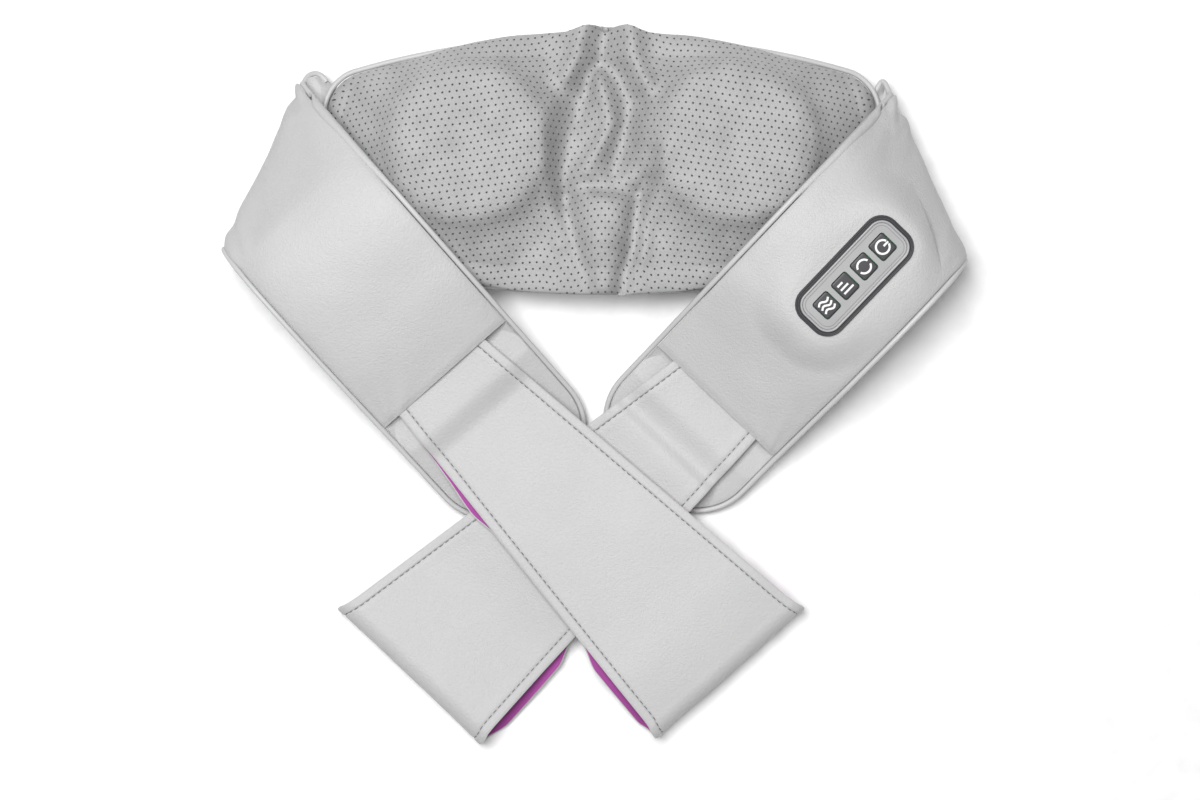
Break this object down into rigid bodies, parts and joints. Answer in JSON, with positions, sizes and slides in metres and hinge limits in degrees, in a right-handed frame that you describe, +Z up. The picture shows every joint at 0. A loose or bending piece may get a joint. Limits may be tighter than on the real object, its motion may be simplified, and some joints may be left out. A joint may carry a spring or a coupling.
{
  "type": "shiatsu neck massager",
  "caption": "Padded shawl massager with kneading heads under a mesh front, two folded wings, crossing hand loops and a key panel on one wing.",
  "frame": {"origin": "bottom centre of the whole object's box, on the surface that it lies on", "axes": "+X to the side with the key panel, +Y from the hand loops to the body, +Z up out of the mesh front"},
  "size_m": [0.5452, 0.5224, 0.1041],
  "materials": {
    "leather": "light grey grained faux leather",
    "mesh_fabric": "grey perforated mesh",
    "lining": "purple lining",
    "foam": "open-cell foam",
    "housing_plastic": "moulded",
    "gear_plastic": "moulded acetal",
    "node_plastic": "moulded",
    "steel": "ground",
    "brass": "machined",
    "heat_lens": "clear red",
    "circuit_board": "solder mask",
    "bezel_rubber": "moulded",
    "panel_plastic": "satin grey",
    "key_rubber": "moulded with pale symbols"
  },
  "bodies": {
    "root": {"back_cover": "leather", "body_piping": "leather", "control_board": "circuit_board", "dc_jack": "housing_plastic", "foam_surround": "foam", "front_housing": "housing_plastic", "housing_screw_1": "steel", "housing_screw_2": "steel", "housing_screw_3": "steel", "housing_screw_4": "steel", "left_fold_gusset": "leather", "left_head_post": "steel", "left_heat_lens": "heat_lens", "left_idler_axle": "steel", "mesh_cover": "mesh_fabric", "motor_can": "steel", "motor_end_cap": "housing_plastic", "rear_housing": "housing_plastic", "right_fold_gusset": "leather", "right_head_post": "steel", "right_heat_lens": "heat_lens", "right_idler_axle": "steel", "worm_bearing": "brass"},
    "left_head": {"left_head_gear": "gear_plastic", "left_node_arm": "node_plastic"},
    "right_head": {"right_head_gear": "gear_plastic", "right_node_arm": "node_plastic"},
    "left_idler": {"left_idler_gear": "gear_plastic"},
    "right_idler": {"right_idler_gear": "gear_plastic"},
    "worm_body": {"motor_shaft": "steel", "worm": "brass"},
    "left_outer_roller": {"left_outer_node": "node_plastic"},
    "left_inner_roller": {"left_inner_node": "node_plastic"},
    "right_outer_roller": {"right_outer_node": "node_plastic"},
    "right_inner_roller": {"right_inner_node": "node_plastic"},
    "left_wing": {"left_pocket_panel": "leather", "left_wing_foam": "foam", "left_wing_inner": "leather", "left_wing_outer": "leather", "left_wing_piping": "leather"},
    "right_wing": {"keypad_board": "circuit_board", "keypad_case": "housing_plastic", "panel_bezel": "bezel_rubber", "panel_face": "panel_plastic", "right_pocket_panel": "leather", "right_wing_foam": "foam", "right_wing_inner": "leather", "right_wing_outer": "leather", "right_wing_piping": "leather"},
    "left_hand_loop": {"left_loop": "leather", "left_loop_lining": "lining"},
    "right_hand_loop": {"right_loop": "leather", "right_loop_lining": "lining"},
    "power_key": {"power_button": "key_rubber"},
    "direction_key": {"direction_button": "key_rubber"},
    "intensity_key": {"intensity_button": "key_rubber"},
    "heat_key": {"heat_button": "key_rubber"}
  },
  "joints": [
    {"name": "left_head_spin", "type": "hinge", "parent": "root", "child": "left_head", "pos_m": [-0.09091, 0.17816, 0.0385], "axis": [0.1392, 0, 0.9903], "continuous": true},
    {"name": "left_idler_spin", "type": "hinge", "parent": "root", "child": "left_idler", "pos_m": [-0.0315, 0.17816, 0.03015], "axis": [0.1392, 0, 0.9903], "continuous": true},
    {"name": "right_head_spin", "type": "hinge", "parent": "root", "child": "right_head", "pos_m": [0.1012, 0.17816, 0.0385], "axis": [-0.1392, 0, 0.9903], "continuous": true},
    {"name": "right_idler_spin", "type": "hinge", "parent": "root", "child": "right_idler", "pos_m": [0.04178, 0.17816, 0.03015], "axis": [-0.1392, 0, 0.9903], "continuous": true},
    {"name": "worm_spin", "type": "hinge", "parent": "root", "child": "worm_body", "pos_m": [0.00514, 0.17816, 0.025], "axis": [0, 1, 0], "continuous": true},
    {"name": "left_outer_node_spin", "type": "hinge", "parent": "left_head", "child": "left_outer_roller", "pos_m": [-0.13111, 0.16953, 0.04415], "axis": [0.1392, 0, 0.9903], "continuous": true},
    {"name": "left_inner_node_spin", "type": "hinge", "parent": "left_head", "child": "left_inner_roller", "pos_m": [-0.05071, 0.18679, 0.03285], "axis": [0.1392, 0, 0.9903], "continuous": true},
    {"name": "right_outer_node_spin", "type": "hinge", "parent": "right_head", "child": "right_outer_roller", "pos_m": [0.14211, 0.17418, 0.04425], "axis": [-0.1392, 0, 0.9903], "continuous": true},
    {"name": "right_inner_node_spin", "type": "hinge", "parent": "right_head", "child": "right_inner_roller", "pos_m": [0.06029, 0.18214, 0.03275], "axis": [-0.1392, 0, 0.9903], "continuous": true},
    {"name": "left_wing_fold", "type": "hinge", "parent": "root", "child": "left_wing", "pos_m": [-0.24486, 0.16616, 0.045], "axis": [-0.4123, -0.911, 0], "range_deg": [0, 150], "deforming": ["left_fold_gusset"]},
    {"name": "right_wing_fold", "type": "hinge", "parent": "root", "child": "right_wing", "pos_m": [0.24614, 0.15816, 0.045], "axis": [-0.3947, 0.9188, 0], "range_deg": [0, 150], "deforming": ["right_fold_gusset"]},
    {"name": "left_loop_swing", "type": "hinge", "parent": "left_wing", "child": "left_hand_loop", "pos_m": [-0.132, 0.03769, 0.05776], "axis": [0, 0, 1], "range_deg": [-6, 6], "deforming": ["left_loop", "left_loop_lining"]},
    {"name": "right_loop_swing", "type": "hinge", "parent": "right_wing", "child": "right_hand_loop", "pos_m": [0.1126, 0.01744, 0.04763], "axis": [0, 0, 1], "range_deg": [-6, 6], "deforming": ["right_loop", "right_loop_lining"]},
    {"name": "power_press", "type": "slide", "parent": "right_wing", "child": "power_key", "axis": [-0.0473, 0.1581, -0.9863], "range_m": [0, 0.0008], "stiffness_N_per_m": 400},
    {"name": "direction_press", "type": "slide", "parent": "right_wing", "child": "direction_key", "axis": [-0.0473, 0.1581, -0.9863], "range_m": [0, 0.0008], "stiffness_N_per_m": 400},
    {"name": "intensity_press", "type": "slide", "parent": "right_wing", "child": "intensity_key", "axis": [-0.0473, 0.1581, -0.9863], "range_m": [0, 0.0008], "stiffness_N_per_m": 400},
    {"name": "heat_press", "type": "slide", "parent": "right_wing", "child": "heat_key", "axis": [-0.0473, 0.1581, -0.9863], "range_m": [0, 0.0008], "stiffness_N_per_m": 400}
  ],
  "couplings": [
    {"joint": "right_head_spin", "follows": "left_head_spin", "ratio": -1},
    {"joint": "left_idler_spin", "follows": "left_head_spin", "ratio": -3},
    {"joint": "right_idler_spin", "follows": "left_head_spin", "ratio": 3},
    {"joint": "worm_spin", "follows": "left_head_spin", "ratio": -90}
  ]
}
